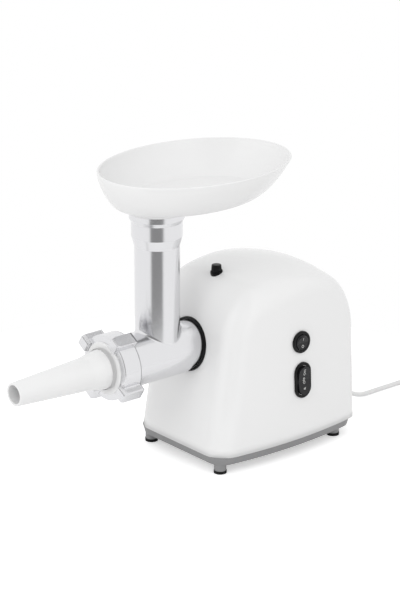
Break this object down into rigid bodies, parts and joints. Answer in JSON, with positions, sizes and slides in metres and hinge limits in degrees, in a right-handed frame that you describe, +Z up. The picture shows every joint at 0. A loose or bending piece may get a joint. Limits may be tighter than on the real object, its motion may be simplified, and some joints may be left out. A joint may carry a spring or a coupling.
{
  "type": "electric meat grinder",
  "caption": "Electric meat grinder with an arched white motor housing, polished feed tube and barrel, oval tray, screw auger, ring nut and sausage funnel.",
  "frame": {"origin": "on the floor under the middle of the grinder's box, lead left out", "axes": "+Z up, +Y from the funnel's tip towards the back, +X to the right seen from the front, the side with the switches"},
  "size_m": [0.1689, 0.6151, 0.308],
  "materials": {
    "white_shell": "gloss moulded",
    "white_plastic": "gloss moulded",
    "grey_base": "satin",
    "grey_plastic": "moulded",
    "gear_plastic": "moulded",
    "rubber": "matte",
    "white_rubber": "satin",
    "black_plastic": "satin",
    "dark_plastic": "satin",
    "cast_aluminium": "polished",
    "steel": "bright",
    "bronze": "sintered",
    "brass": "bright",
    "copper": "wound or turned copper",
    "lamination": "stacked sheet",
    "carbon": "pressed carbon"
  },
  "bodies": {
    "frame": {"housing": "white_shell", "base_plate": "grey_base", "foot_pads": "rubber", "base_screws": "steel", "socket_ring": "black_plastic", "lock_bezel": "black_plastic", "lock_spring": "steel", "grinder_head": "cast_aluminium", "grinding_plate": "steel", "power_switch": "black_plastic", "mode_switch": "black_plastic", "second_axle": "steel", "first_axle": "steel", "gear_case": "grey_plastic", "gear_cover": "grey_plastic", "gear_case_screws": "steel", "output_bush": "bronze", "stator_core": "lamination", "field_coils": "copper", "front_bearing": "steel", "rear_bearing": "bronze", "rear_bracket": "steel", "brush_holders": "brass", "carbon_brushes": "carbon", "motor_screws": "steel", "cord_gland": "white_rubber", "cord": "white_rubber", "cord_coil": "white_rubber", "cord_tie": "black_plastic", "plug": "white_rubber", "plug_pins": "brass"},
    "rotor": {"motor_shaft": "steel", "motor_pinion": "steel", "armature_core": "lamination", "armature_winding": "copper", "commutator": "copper", "cooling_fan": "black_plastic"},
    "first_wheel": {"first_gear": "gear_plastic"},
    "second_wheel": {"second_gear": "gear_plastic"},
    "drive": {"output_gear": "gear_plastic", "drive_coupling": "steel", "auger": "cast_aluminium", "auger_drive": "steel", "cutting_blade": "steel", "auger_washer": "white_plastic"},
    "lock": {"lock_button": "black_plastic", "latch_hook": "steel"},
    "funnel": {"sausage_funnel": "white_plastic"},
    "nut": {"ring_nut": "cast_aluminium"},
    "tray": {"feed_tray": "white_plastic"},
    "power_key": {"power_rocker": "dark_plastic"},
    "mode_key": {"mode_rocker": "dark_plastic"}
  },
  "joints": [
    {"name": "motor_spin", "type": "hinge", "parent": "frame", "child": "rotor", "pos_m": [0.008, 0.125, 0.0623], "axis": [0, 1, 0], "continuous": true},
    {"name": "first_gear_spin", "type": "hinge", "parent": "frame", "child": "first_wheel", "pos_m": [-0.01926, 0.065, 0.05399], "axis": [0, 1, 0], "continuous": true},
    {"name": "second_gear_spin", "type": "hinge", "parent": "frame", "child": "second_wheel", "pos_m": [-0.02237, 0.065, 0.08885], "axis": [0, 1, 0], "continuous": true},
    {"name": "output_spin", "type": "hinge", "parent": "frame", "child": "drive", "pos_m": [0, 0.045, 0.1208], "axis": [0, 1, 0], "continuous": true},
    {"name": "lock_press", "type": "slide", "parent": "frame", "child": "lock", "axis": [0, 0, -1], "range_m": [0, 0.004], "stiffness_N_per_m": 600, "springref_m": -0.004, "deforming": ["lock_spring"]},
    {"name": "nut_turn", "type": "hinge", "parent": "funnel", "child": "nut", "pos_m": [0, -0.075, 0.1208], "axis": [0, 1, 0], "range_deg": [0, 1440]},
    {"name": "funnel_slide", "type": "slide", "parent": "frame", "child": "funnel", "axis": [0, -1, 0], "range_m": [0, 0.01]},
    {"name": "tray_lift", "type": "slide", "parent": "frame", "child": "tray", "axis": [0, 0, 1], "range_m": [0, 0.06]},
    {"name": "power_rock", "type": "hinge", "parent": "frame", "child": "power_key", "pos_m": [0.06942, 0.11, 0.121], "axis": [0.021, -0.9998, 0.0009], "range_deg": [0, 18]},
    {"name": "mode_rock", "type": "hinge", "parent": "frame", "child": "mode_key", "pos_m": [0.07116, 0.111, 0.0805], "axis": [-0.0229, 0.9997, -0.001], "range_deg": [-8, 8]}
  ],
  "couplings": [
    {"joint": "first_gear_spin", "follows": "motor_spin", "ratio": -0.26667},
    {"joint": "second_gear_spin", "follows": "motor_spin", "ratio": 0.072727},
    {"joint": "output_spin", "follows": "motor_spin", "ratio": -0.021818},
    {"joint": "funnel_slide", "follows": "nut_turn", "m_per_rad": 0.00039789}
  ]
}
